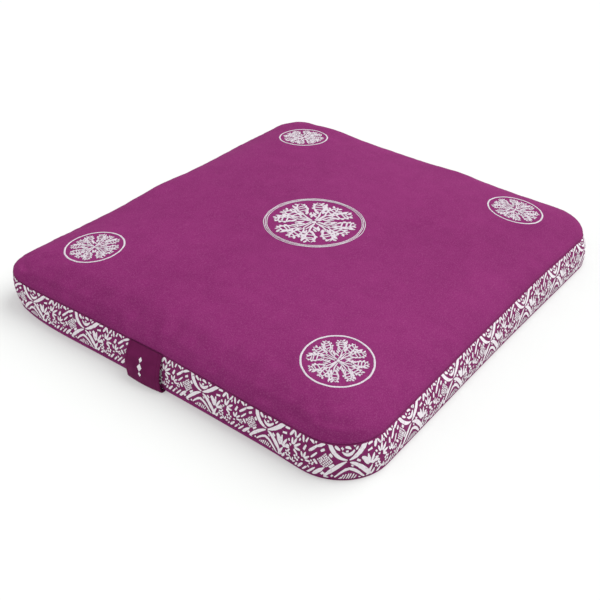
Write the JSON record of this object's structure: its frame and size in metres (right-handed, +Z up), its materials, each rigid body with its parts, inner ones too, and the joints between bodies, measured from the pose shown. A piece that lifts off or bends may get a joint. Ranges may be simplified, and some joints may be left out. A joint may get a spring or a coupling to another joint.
{
  "type": "zabuton floor cushion",
  "caption": "Rectangular filled floor cushion with a crowned top, a printed side band and a loop handle of folded cloth on a short side.",
  "frame": {"origin": "middle of the flat underside, on the floor", "axes": "+Z up through the crown, +Y along the longer side away from the handle, +X to the right as seen from the handle's side"},
  "size_m": [0.7217, 0.8207, 0.1072],
  "materials": {
    "plum_cloth": "brushed matte cotton",
    "printed_cloth": "printed matte cotton",
    "strap_cloth": "smooth matte cotton",
    "white_thread": "satin embroidery thread"
  },
  "bodies": {
    "root": {"cushion": "plum_cloth", "side_band": "printed_cloth", "handle_loop": "strap_cloth"}
  },
  "joints": []
}
